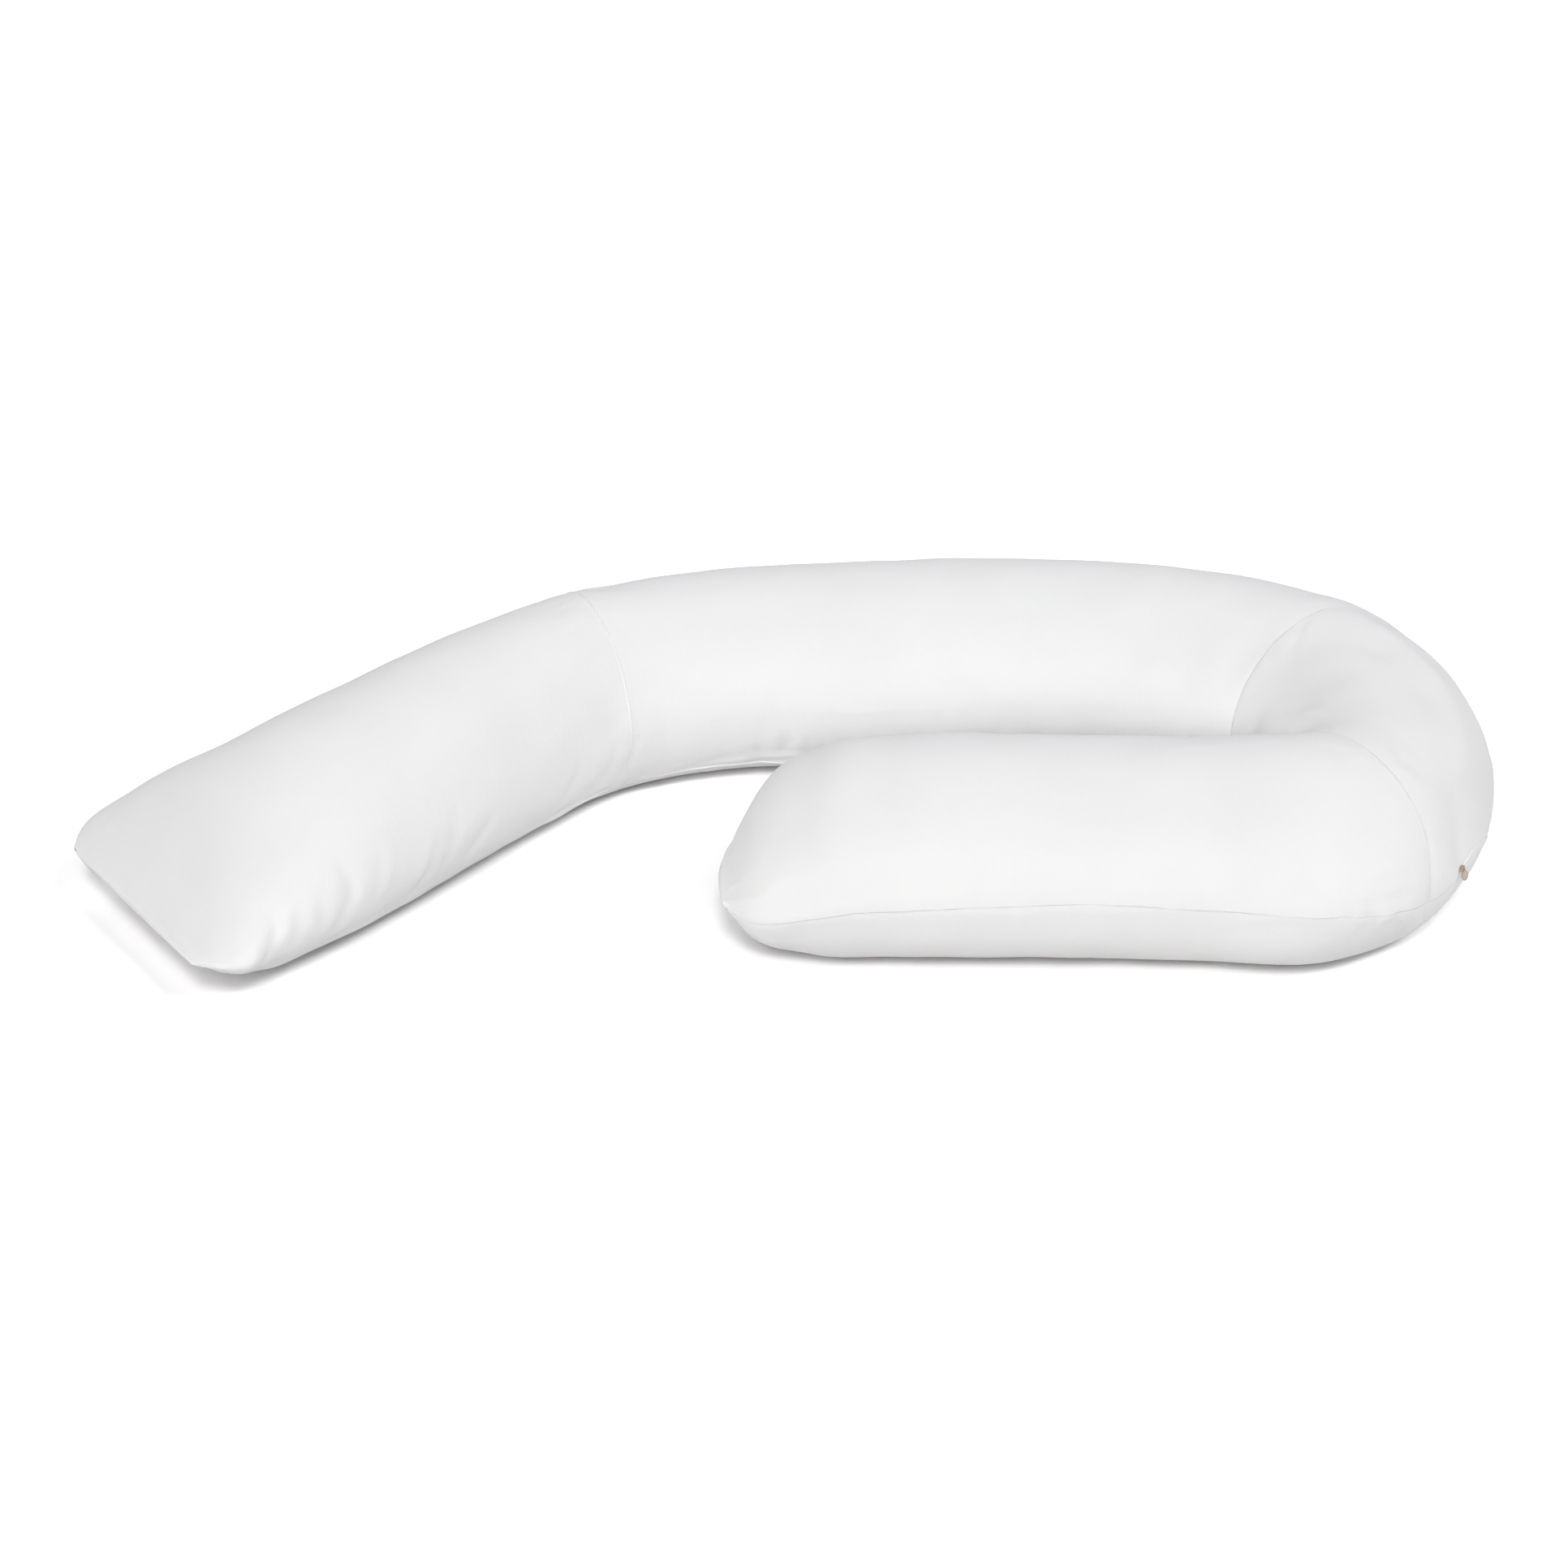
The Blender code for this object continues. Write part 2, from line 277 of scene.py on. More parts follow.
def doubled(field):
    """A coarse grid's values on the fine grid, with a point between each two."""
    padded = np.concatenate((field[:1], field, field[-1:]))
    between = (9 * (padded[1:-2] + padded[2:-1]) - padded[:-3] - padded[3:]) / 16
    rows = np.empty((2 * len(field) - 1, *field.shape[1:]))
    rows[::2], rows[1::2] = field, between
    before, after = np.roll(rows, 1, axis=1), np.roll(rows, -1, axis=1)
    beyond = np.roll(rows, -2, axis=1)
    columns = np.empty((len(rows), 2 * rows.shape[1], *rows.shape[2:]))
    columns[:, ::2], columns[:, 1::2] = rows, (9 * (rows + after) - before - beyond) / 16
    return columns


def settled(grid, held, pressure, slack):
    """The coarse grid after its cloth is blown up between held seams."""
    mesh = cover_mesh("trial_cover", grid)
    trial = bpy.data.objects.new("trial_cover", mesh)
    bpy.context.scene.collection.objects.link(trial)
    pins = trial.vertex_groups.new(name="seams")
    pins.add(np.flatnonzero(held.ravel()).tolist(), 1.0, "REPLACE")
    cloth = trial.modifiers.new("cloth", "CLOTH")
    for name, value in CLOTH.items():
        setattr(cloth.settings, name, value)
    cloth.settings.shrink_min = -slack
    cloth.settings.uniform_pressure_force = pressure
    cloth.settings.effector_weights.gravity = 0
    cloth.point_cache.frame_start = 1
    cloth.point_cache.frame_end = SETTLE_FRAMES
    scene = bpy.context.scene
    for step in range(1, SETTLE_FRAMES + 1):
        scene.frame_set(step)
    shaped = trial.evaluated_get(bpy.context.evaluated_depsgraph_get()).to_mesh()
    points = np.empty(len(shaped.vertices) * 3)
    shaped.vertices.foreach_get("co", points)
    trial.to_mesh_clear()
    scene.frame_set(1)
    bpy.data.objects.remove(trial, do_unlink=True)
    bpy.data.meshes.remove(mesh)
    return points.reshape(grid.shape)


def beside_long_seams(rows, angles, arc):
    """For each long seam, how far round the bag each point lies from it."""
    turns = np.degrees(angles)
    for turn_at in (side_turn, inner_seam_turn):
        middle = [np.interp(turn, turns, ring) for turn, ring in zip(turn_at(rows), arc)]
        yield arc - np.array(middle)[:, None]


def nearness_to_seams(rows, angles, grid):
    """One on a seam, falling away on both sides of it."""
    near = np.full(grid.shape[:2], OPEN_CLOTH)
    for seam in (rows[0], *SEAM_ALONG, rows[-1]):
        near = np.maximum(near, np.exp(-np.abs(rows[:, None] - seam) / SEAM_PULL))
    for aside in beside_long_seams(rows, angles, run_of(grid, 1)):
        near = np.maximum(near, np.exp(-np.abs(aside) / SEAM_PULL))
    return near


def puckers(rows, angles, grid, pressure, slack):
    """How far simulated cloth moves each point, without its broad swelling."""
    coarse = grid[::2, ::2]
    turns = np.degrees(angles[::2])
    held = coarse[..., 2] < ON_FLOOR
    for seam in SEAM_ALONG:
        held[np.abs(rows[::2] - seam).argmin()] = True
    held[[0, -1]] = True
    for row, along in enumerate(rows[::2]):
        for turn in (side_turn(along), inner_seam_turn(along)):
            held[row, np.abs(turns - turn).argmin()] = True
    moved = settled(coarse, held, pressure, slack) - coarse
    moved -= blurred(moved, PUCKER_SPREAD)
    length = np.linalg.norm(moved, axis=2, keepdims=True)
    moved *= np.minimum(1, PUCKER_CAP / np.maximum(length, 1e-9))
    return doubled(moved) * nearness_to_seams(rows, angles, grid)[..., None]


# ---- folds laid one by one

Fold = namedtuple("Fold", "along turn to_along to_turn width depth")

# Soft troughs (depth above zero) and ridges (below zero), from their faint end to their deep
# one: along and width in millimetres, depth in tenths of one. A turn is the angle round the
# bag: 0 on its outer edge, 90 on its crown.
FOLDS = [Fold(*row) for row in (  # the leg end
    (19, 147, 12, 166, 11, 8), (27, 158, 21, 178, 10, -9), (37, 152, 28, 180, 11, 18),
    (51, 158, 34, 186, 11, -15), (66, 148, 67, 176, 13, 30), (67, 168, 48, 194, 12, 26),
    (78, 158, 68, 194, 12, -4), (96, 164, 84, 188, 11, 19), (106, 168, 103, 190, 12, -8),
    (116, 166, 114, 188, 10, 13), (134, 160, 122, 190, 13, -9), (143, 154, 151, 182, 12, 26),
    (151, 174, 131, 199, 12, 27), (156, 182, 138, 204, 12, -6), (168, 162, 155, 188, 14, -10),
    (189, 166, 172, 194, 12, 20), (198, 162, 186, 186, 14, -12), (196, 188, 182, 202, 9, 12),
    (208, 166, 202, 190, 14, 6), (247, 172, 230, 198, 16, -14), (256, 180, 240, 202, 13, 22),
    (244, 196, 226, 212, 12, 22), (284, 168, 268, 198, 15, 18), (294, 170, 284, 196, 14, -10),
    # the leg
    (334, 182, 305, 200, 15, 28), (316, 174, 293, 184, 18, -12), (470, 184, 446, 202, 15, 26),
    (504, 176, 499, 197, 20, -12), (534, 184, 516, 206, 13, 24), (566, 186, 545, 208, 13, 22),
    # the back
    (600, 178, 600, 192, 22, 8), (681, 194, 681, 215, 18, 10), (727, 180, 727, 220, 18, 10),
    (742, 190, 742, 205, 14, -8), (759, 190, 754, 206, 16, 10), (772, 190, 770, 205, 14, -8),
    (878, 174, 860, 192, 18, 8), (928, 176, 919, 192, 18, 8), (974, 170, 965, 192, 18, 8),
    (1006, 176, 995, 190, 16, 8),
    # the bend
    (1345, 80, 1400, 69, 26, -16), (1380, 71, 1471, 57, 26, -20), (1460, 58, 1556, 41, 26, -20),
    (1365, 93, 1440, 84, 34, 20), (1430, 86, 1515, 66, 34, 15), (1500, 70, 1588, 50, 34, 12),
    (1470, 148, 1528, 128, 34, 18), (1525, 142, 1592, 110, 16, 10), (1580, 112, 1597, 58, 22, 9),
    (1508, 146, 1578, 112, 12, -9), (1615, 82, 1629, 48, 14, -4), (1598, 38, 1607, 6, 17, 26),
    (1632, 26, 1630, -4, 8, -11), (1637, 28, 1637, -4, 5, 10), (1578, 34, 1572, 16, 22, -16),
    (1622, 12, 1618, -2, 16, -16),
    # the arm
    (1662, 2, 1664, -10, 10, 16), (1672, 0, 1675, -10, 9, -12), (1687, 8, 1683, -10, 10, 23),
    (1695, 2, 1695, -8, 9, -14), (1703, 9, 1702, -5, 10, 23), (1716, 3, 1716, -5, 9, 6),
    (1880, -8, 1860, -22, 30, 12), (2040, 2, 1960, 12, 40, 12), (2224, -11, 2192, 24, 12, -19),
    (2226, -8, 2202, 15, 10, -19), (2222, -9, 2194, 30, 11, 16), (2208, 4, 2200, 12, 11, 16),
    (2216, -6, 2160, -3, 13, -16), (2200, -15, 2192, -27, 22, 12), (2220, 122, 2229, 60, 15, -26),
)]


FOLD_LEAST = 0.2  # the least depth past a fold's faint end, as a share of its whole depth
FOLD_MOST = 1.3  # and the most past its deep end
FOLD_FADE = 1.15  # a fold fades away over this share of its length


def fold_depths(rows, angles, grid):
    """How deep the folds press each point in."""
    arc = run_of(grid, 1)
    depth = np.zeros(grid.shape[:2])
    turns = np.degrees(angles)
    for fold in FOLDS:
        ends = []
        for along, turn in ((fold.along / 1000, fold.turn), (fold.to_along / 1000, fold.to_turn)):
            row = np.abs(rows - along).argmin()
            ends.append(np.array((along, np.interp(turn, turns, arc[row]))))
        way = ends[1] - ends[0]
        length = np.linalg.norm(way)
        way /= length
        middle = (ends[0] + ends[1]) / 2
        east, north = rows[:, None] - middle[0], arc - middle[1]
        ahead = east * way[0] + north * way[1]
        aside = north * way[0] - east * way[1]
        deeper = np.clip(0.8 + 0.8 * ahead / length, FOLD_LEAST, FOLD_MOST)
        depth += fold.depth / 10000 * deeper * np.exp(-(2 * ahead / (length * FOLD_FADE)) ** 4
                                                      - (2 * aside / (fold.width / 1000)) ** 2)
    return depth


GROOVE_WIDTH = 0.0060  # of the dip that each seam lies in
CROSS_GROOVE = 0.0004  # how deep it is at a cross seam
SIDE_GROOVE = 0.0005  # and at a long seam
SWELL = 0.0005  # how far the filling's lumps show
BEND_SWELL = 0.0008  # and in the bend
CROSS_PUCKERS = 0.00022  # depth of a cross seam's small puckers
SIDE_PUCKERS = 0.00035  # and those of a long seam
PUCKER_REACH = 0.010  # how far they reach from it


def unevenness(run, phase):
    """A wavy number, about -1 to 1, that never quite repeats along a seam."""
    return (np.sin(run / 0.0137 + phase) + np.sin(run / 0.0083 + 2.7 * phase)
            + np.sin(run / 0.0290 + 0.6 * phase)) / 2.2


def seam_depths(rows, angles, grid):
    """How deep the seams and their small puckers press each point in."""
    run, arc = rows[:, None], run_of(grid, 1)
    lines = [(run - seam, arc, 1.3 + phase, CROSS_GROOVE, CROSS_PUCKERS)
             for phase, seam in enumerate(SEAM_ALONG)]
    lines += [(aside, run, 4.1 + phase, SIDE_GROOVE, SIDE_PUCKERS)
              for phase, aside in enumerate(beside_long_seams(rows, angles, arc))]
    depth = np.zeros(grid.shape[:2])
    for aside, way, phase, groove, pucker in lines:
        uneven = unevenness(way, phase)
        depth += groove * (1 + 0.35 * uneven) * np.exp(-(2 * aside / GROOVE_WIDTH) ** 2)
        depth += pucker * uneven * np.exp(-(aside / PUCKER_REACH) ** 2)
    return depth


def swells(rows, grid):
    """Broad soft lumps of the filling, mostly in the bend."""
    run, arc = rows[:, None], run_of(grid, 1)
    wave = (np.sin(run / 0.024 + arc / 0.020 + 0.4) + np.sin(run / 0.016 - arc / 0.023 + 2.0)
            + np.sin(run / 0.040 + arc / 0.014 + 4.1) + np.sin(run / 0.012 + arc / 0.036)) / 2.8
    middle = (SEAM_ALONG[1] + SEAM_ALONG[2]) / 2
    in_bend = np.exp(-((run - middle) / (SEAM_ALONG[2] - SEAM_ALONG[1]) * 2.2) ** 4)
    return (SWELL + (BEND_SWELL - SWELL) * in_bend) * wave


# ---- the finished cover

Cover = namedtuple("Cover", "rows turns points normals")


def read_cover():
    """The finished cover as a grid, for laying seams and zip on it."""
    piece = bpy.data.objects.get("pillow_cover")
    if piece is None:
        raise RuntimeError("Fill the cover first")
    rows, angles = cover_rows(), cover_angles()
    flat = np.empty(len(piece.data.vertices) * 3)
    piece.data.vertices.foreach_get("co", flat)
    points = flat.reshape(len(rows), len(angles), 3)
    normals = normals_of(points)
    turns = np.degrees(np.concatenate((angles, [angles[0] + 2 * pi])))
    return Cover(rows, turns, np.concatenate((points, points[:, :1]), axis=1),
                 np.concatenate((normals, normals[:, :1]), axis=1))


def on_cover(cover, along, turn):
    """Points and normals of the cover at distances along it and turns round it."""
    along, turn = np.broadcast_arrays(np.asarray(along, float), np.asarray(turn, float))
    turn = (turn - cover.turns[0]) % 360 + cover.turns[0]
    row = np.interp(along, cover.rows, np.arange(len(cover.rows)))
    column = np.interp(turn, cover.turns, np.arange(len(cover.turns)))
    i = np.minimum(row.astype(int), len(cover.rows) - 2)
    j = np.minimum(column.astype(int), len(cover.turns) - 2)
    s, t = (row - i)[..., None], (column - j)[..., None]
    points, normals = (
        (1 - s) * (1 - t) * field[i, j] + s * (1 - t) * field[i + 1, j]
        + (1 - s) * t * field[i, j + 1] + s * t * field[i + 1, j + 1]
        for field in (cover.points, cover.normals))
    return points, unit(normals)


def evenly(points, step, closed=False):
    """Places about a step apart on a line of points, as fractional indices."""
    if closed:
        points = np.concatenate((points, points[:1]))
    run = run_of(points)
    count = max(int(round(run[-1] / step)), 2)
    wanted = np.linspace(0, run[-1], count + 1)
    return np.interp(wanted[:-1] if closed else wanted, run, np.arange(len(run)))


# ---- seams and stitches

MM = 0.001
# Outlines of the seams as (across, out of the cover), in millimetres, from one side to the
# other. A lapped seam is one panel folded over the other and stitched twice.
LAPPED = ((-1.8, -0.7), (-1.6, 0.06), (-1.1, 0.20), (-0.6, 0.22), (-0.45, -0.02), (0.35, -0.02),
          (0.5, 0.16), (1.0, 0.16), (1.6, 0.08), (2.0, -0.04), (2.2, -0.7))
PROUD = ((-1.9, -0.7), (-1.7, 0.1), (-1.3, 0.7), (-0.8, 0.95), (-0.35, 0.6), (-0.25, -0.02),
         (0.3, -0.02), (0.45, 0.12), (1.0, 0.14), (1.6, 0.08), (2.0, -0.04), (2.2, -0.7))
BUTTED = ((-1.7, -0.7), (-1.5, 0.02), (-1.0, 0.20), (-0.5, 0.24), (-0.4, -0.02), (0.4, -0.02),
          (0.5, 0.24), (1.0, 0.20), (1.5, 0.02), (1.7, -0.7))
# The folded edge of the under panel, seen in the gap of a seam, and painted darker as the shade in
# that gap.
SHADED_UNDER_EDGE = ((-0.42, -0.6), (-0.42, 0.05), (0.0, 0.07), (0.42, 0.05), (0.42, -0.6))
STITCH_SIDES = 6
# A stitch from end to end: part of its length, and its radius in millimetres.
STITCH_RINGS = ((-0.36, 0.12), (0.0, 0.16), (0.36, 0.12))
STITCH_DIP = 0.0003  # its tips go this far into the cloth
HIDDEN_BELOW = 0.004  # no stitches are made this near the floor
# The rows of stitches lie this far beside the middle of their seams, in millimetres.
CROSS_ROWS = (-0.9, 1.1)
LONG_ROW = 0.8
END_ROW = 0.0015  # and those of the ends this far inside the first and last station


def line_frames(points, normals, closed):
    """Directions along and across a line on the cover."""
    ahead = np.gradient(points, axis=0)
    if closed:
        ahead = np.roll(points, -1, axis=0) - np.roll(points, 1, axis=0)
    ahead = unit(ahead)
    return ahead, unit(np.cross(normals, ahead))


def tube(grid, closed=False):
    """A grid of rings as vertices and faces, with end caps unless it is closed."""
    index = np.arange(grid.shape[0] * grid.shape[1]).reshape(grid.shape[:2])
    here, there = (index, np.roll(index, -1, axis=0)) if closed else (index[:-1], index[1:])
    quads = np.stack((here, np.roll(here, -1, axis=1), np.roll(there, -1, axis=1), there), axis=-1)
    faces = quads.reshape(-1, 4).tolist()
    if not closed:
        faces += [index[0][::-1].tolist(), index[-1].tolist()]
    return grid.reshape(-1, 3), faces


def swept(points, normals, outline, closed=False):
    """A strip with that outline along a line: its vertices and faces."""
    _, across = line_frames(points, normals, closed)
    outline = np.asarray(outline) * MM
    rings = (points[:, None] + across[:, None] * outline[None, :, :1]
             + normals[:, None] * outline[None, :, 1:])
    rings[..., 2] = np.maximum(rings[..., 2], 0)
    return tube(rings, closed)


def stitched(points, normals, offset, sizes, closed=False):
    """A row of stitches beside a line: their vertices and faces."""
    ahead, across = line_frames(points, normals, closed)
    places = evenly(points, sizes.pitch, closed)
    low = places.astype(int)
    part = (places - low)[:, None]
    found = []
    for field in (points + across * offset, ahead, across, normals):
        wrapped = np.concatenate((field, field[:1]))
        found.append(wrapped[low] * (1 - part) + wrapped[low + 1] * part)
    shown = found[0][:, 2] > HIDDEN_BELOW
    middle, ahead, across, normals = (field[shown] for field in found)
    angles = np.arange(STITCH_SIDES) * 2 * pi / STITCH_SIDES
    rings = [middle[:, None] + ahead[:, None] * part * sizes.length
             + across[:, None] * (radius * MM * np.cos(angles))[None, :, None]
             + normals[:, None] * (radius * MM * np.sin(angles))[None, :, None]
             for part, radius in STITCH_RINGS]
    tips = [middle + ahead * end * sizes.length - normals * STITCH_DIP for end in (-0.5, 0.5)]
    each = np.concatenate([tips[0][:, None], *rings, tips[1][:, None]], axis=1)
    faces = []
    last = 1 + STITCH_SIDES * len(rings)
    for side in range(STITCH_SIDES):
        other = (side + 1) % STITCH_SIDES
        faces.append((0, 1 + other, 1 + side))
        for low in range(1, last - STITCH_SIDES, STITCH_SIDES):
            high = low + STITCH_SIDES
            faces.append((low + side, low + other, high + other, high + side))
        faces.append((last, last - STITCH_SIDES + side, last - STITCH_SIDES + other))
    made = [tuple(start + corner for corner in face)
            for start in range(0, len(each) * each.shape[1], each.shape[1]) for face in faces]
    return each.reshape(-1, 3), made


def joined_mesh(name, parts):
    """One mesh of several lots of vertices and faces, turned outwards."""
    points, faces, start = [], [], 0
    for part_points, part_faces in parts:
        points.append(part_points)
        faces += [[corner + start for corner in face] for face in part_faces]
        start += len(part_points)
    mesh = bpy.data.meshes.new(name)
    mesh.from_pydata(np.concatenate(points), [], faces)
    shell = bmesh.new()
    shell.from_mesh(mesh)
    bmesh.ops.recalc_face_normals(shell, faces=shell.faces)
    shell.to_mesh(mesh)
    shell.free()
    return mesh


# ---- materials


def linear(code):
    """An sRGB hex colour as linear red, green and blue."""
    parts = [int(code[place:place + 2], 16) / 255 for place in (0, 2, 4)]
    return tuple(part / 12.92 if part <= 0.04045 else ((part + 0.055) / 1.055) ** 2.4
                 for part in parts)


def node(tree, kind, settings=(), values=(), links=()):
    """Adds a shader node with its settings, its inputs' values and their sources."""
    made = tree.nodes.new("ShaderNode" + kind)
    for name, value in dict(settings).items():
        setattr(made, name, value)
    for name, value in dict(values).items():
        made.inputs[name].default_value = value
    for name, source in dict(links).items():
        tree.links.new(source, made.inputs[name])
    return made


def new_material(name, colour, roughness, **inputs):
    """A material with these plain values, its tree and its shader."""
    material = bpy.data.materials.new(name)
    material.use_nodes = True
    shader = material.node_tree.nodes["Principled BSDF"]
    shader.inputs["Base Color"].default_value = (*colour, 1)
    shader.inputs["Roughness"].default_value = roughness
    for title, value in inputs.items():
        shader.inputs[title.replace("_", " ").title().replace("Ior", "IOR")].default_value = value
    return material, material.node_tree, shader


WEAVE_PITCH = 0.0016  # from one drawn thread of the cotton to the next
TWIST_PITCH = 0.0006  # from one turn of the sewing thread's plies to the next


def woven_cotton(name, colour, shade):
    """Bleached cotton percale, plain woven: matt, a little uneven in tone, finely ribbed.

    The real threads lie 0.3 mm apart, too fine to show, so the weave is drawn wider.
    """
    material, tree, shader = new_material(
        name, colour, 0.92, specular_ior_level=0.25, sheen_weight=0.08, sheen_roughness=0.6)
    weave = node(tree, "UVMap", {"uv_map": WEAVE_MAP}).outputs["UV"]
    place = node(tree, "TexCoord").outputs["Object"]
    mottle = node(tree, "TexNoise", {}, {"Scale": 11.0, "Detail": 3.0, "Roughness": 0.5},
                  {"Vector": place})
    tone = node(tree, "Mix", {"data_type": "RGBA"},
                {6: (*colour, 1), 7: (*shade, 1)}, {"Factor": mottle.outputs["Fac"]})
    tree.links.new(tone.outputs[2], shader.inputs["Base Color"])
    bands = [node(tree, "TexWave", {"bands_direction": way},
                  {"Scale": 1 / WEAVE_PITCH / 20}, {"Vector": weave}).outputs["Fac"]
             for way in "XY"]
    threads = node(tree, "Math", {"operation": "MULTIPLY"}, {}, enumerate(bands))
    rumple = node(tree, "TexNoise", {}, {"Scale": 38.0, "Detail": 4.0, "Roughness": 0.55},
                  {"Vector": place})
    fine = node(tree, "Bump", {}, {"Strength": 0.12, "Distance": 0.0003},
                {"Height": threads.outputs[0]})
    broad = node(tree, "Bump", {}, {"Strength": 0.25, "Distance": 0.002},
                 {"Height": rumple.outputs["Fac"], "Normal": fine.outputs["Normal"]})
    tree.links.new(broad.outputs["Normal"], shader.inputs["Normal"])
    return material


def gap_shade_cotton(name, painted_shade_tone, lighter_patch_tone):
    """Cotton folded and pressed by the iron: matt, with a fine nap, painted darker for the shade
    down in a seam's gap and broken by lighter patches at random.
    """
    material, tree, shader = new_material(name, painted_shade_tone, 0.95, specular_ior_level=0.2)
    place = node(tree, "TexCoord").outputs["Object"]
    lie = node(tree, "TexNoise", {}, {"Scale": 30.0, "Detail": 2.0}, {"Vector": place})
    spread = node(tree, "MapRange", {}, {"From Min": 0.40, "From Max": 0.58},
                  {"Value": lie.outputs["Fac"]})
    # Painted shade: the darker tone stands for the shade in the seam's gap, broken by random
    # lighter patches.
    tone = node(tree, "Mix", {"data_type": "RGBA"},
                {6: (*painted_shade_tone, 1), 7: (*lighter_patch_tone, 1)}, {"Factor": spread.outputs["Result"]})
    tree.links.new(tone.outputs[2], shader.inputs["Base Color"])
    fluff = node(tree, "TexNoise", {}, {"Scale": 900.0, "Detail": 2.0}, {"Vector": place})
    nap = node(tree, "Bump", {}, {"Strength": 0.2, "Distance": 0.0001},
               {"Height": fluff.outputs["Fac"]})
    tree.links.new(nap.outputs["Normal"], shader.inputs["Normal"])
    return material


def polyester_thread(name, colour):
    """Spun polyester sewing thread: two plies twisted round each other, a little glossier."""
    material, tree, shader = new_material(
        name, colour, 0.6, specular_ior_level=0.4, sheen_weight=0.1, sheen_roughness=0.4)
    place = node(tree, "TexCoord").outputs["Object"]
    twist = node(tree, "TexWave", {"bands_direction": "DIAGONAL"},
                 {"Scale": 1 / TWIST_PITCH / 20, "Distortion": 0.6}, {"Vector": place})
    ply = node(tree, "Bump", {}, {"Strength": 0.3, "Distance": 0.0001},
               {"Height": twist.outputs["Fac"]})
    tree.links.new(ply.outputs["Normal"], shader.inputs["Normal"])
    return material


def lacquered_metal(name, colour, roughness, metallic):
    """Die-cast zinc under lacquer: satin, with faint scuffs in its gloss and tone."""
    material, tree, shader = new_material(
        name, colour, roughness, metallic=metallic, coat_weight=0.3, coat_roughness=0.25)
    place = node(tree, "TexCoord").outputs["Object"]
    scuffs = node(tree, "TexNoise", {}, {"Scale": 900.0, "Detail": 4.0}, {"Vector": place})
    gloss = node(tree, "MapRange", {}, {"To Min": roughness - 0.08, "To Max": roughness + 0.14},
                 {"Value": scuffs.outputs["Fac"]})
    tree.links.new(gloss.outputs["Result"], shader.inputs["Roughness"])
    tone = node(tree, "Mix", {"data_type": "RGBA"},
                {6: (*[part * 0.82 for part in colour], 1),
                 7: (*[min(part * 1.12, 1) for part in colour], 1)},
                {"Factor": scuffs.outputs["Fac"]})
    tree.links.new(tone.outputs[2], shader.inputs["Base Color"])
    return material


# ---- finished pieces


def finish_piece(piece, replaced=()):
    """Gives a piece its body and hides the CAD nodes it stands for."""
    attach(piece, "root")
    if replaced:
        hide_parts(*replaced)


def link_mesh(name, mesh, material, replaced=()):
    """A mesh as a smoothly shaded piece of the cover, at the origin."""
    mesh.materials.append(material)
    mesh.shade_smooth()
    piece = bpy.data.objects.new(name, mesh)
    bpy.context.scene.collection.objects.link(piece)
    finish_piece(piece, replaced)
    return piece


def deselect_all():
    """Ends any editing and selects nothing, so that an operator finds only its own."""
    if bpy.context.object and bpy.context.object.mode != "OBJECT":
        bpy.ops.object.mode_set(mode="OBJECT")
    bpy.ops.object.select_all(action="DESELECT")


def colour(name, description, code):
    """A colour that the user can change, as sRGB hex."""
    return bpy.props.FloatVectorProperty(
        name=name, description=description, subtype="COLOR", size=3, min=0, max=1,
        default=linear(code))


def distance(name, description, default, least):
    """A length that the user can change."""
    return bpy.props.FloatProperty(
        name=name, description=description, subtype="DISTANCE", unit="LENGTH",
        default=default, min=least)


class PillowCoverSettings(bpy.types.PropertyGroup):
    """Sizes and colours of the filled cotton cover."""
    cotton: colour("Cotton", "Colour of the cotton cover", "F7F7F6")
    cotton_shade: colour("Cotton shade", "Its slightly darker tone in patches", "F1F1F1")
    pressure: bpy.props.FloatProperty(
        name="Filling pressure", description="How hard the filling pushes the cloth out",
        default=4.0, min=0, max=10)
    slack: bpy.props.FloatProperty(
        name="Cloth to spare", description="Share by which the cloth is larger than the filling",
        subtype="FACTOR", default=0.004, min=0, max=0.2)


class PILLOW_OT_cover(bpy.types.Operator):
    """Make the filled cotton cover with its puckers and folds"""
    bl_idname = "pillow.cover"
    bl_label = "Fill the Cover"

    def execute(self, context):
        sizes = context.scene.pillow_cover
        rows, angles = cover_rows(), cover_angles()
        grid = np.array([section_ring(along, angles) for along in rows])
        base = grid.copy()
        normals = normals_of(base)
        fade = np.clip(base[..., 2] / FLOOR_HOLD, 0, 1)[..., None]
        grid += puckers(rows, angles, base, sizes.pressure, sizes.slack) * fade
        depth = (fold_depths(rows, angles, base) + seam_depths(rows, angles, base)
                 + swells(rows, base))
        grid -= normals * depth[..., None] * fade
        grid[..., 2] = np.maximum(grid[..., 2], 0)
        mesh = cover_mesh("pillow_cover", grid)
        lay_weave_map(mesh, rows, grid)
        cotton = woven_cotton("bleached_cotton_percale", sizes.cotton, sizes.cotton_shade)
        cover = link_mesh("pillow_cover", mesh, cotton, ("pillow",))
        return {"FINISHED"}


class PillowSeamSettings(bpy.types.PropertyGroup):
    """Sizes and colour of the stitching."""
    thread: colour("Thread", "Colour of the sewing thread", "F4F4F5")
    pitch: distance("Stitch pitch", "From one stitch to the next", 0.0029, 0.001)
    length: distance("Stitch length", "Length of one stitch", 0.0021, 0.0005)
    # Painted shade: the strips down in the seams' gaps get this darker colour to stand for their
    # shade.
    under: colour("Seam gap shade", "Colour of the cloth down in the gap of a seam", "D6D6D8")


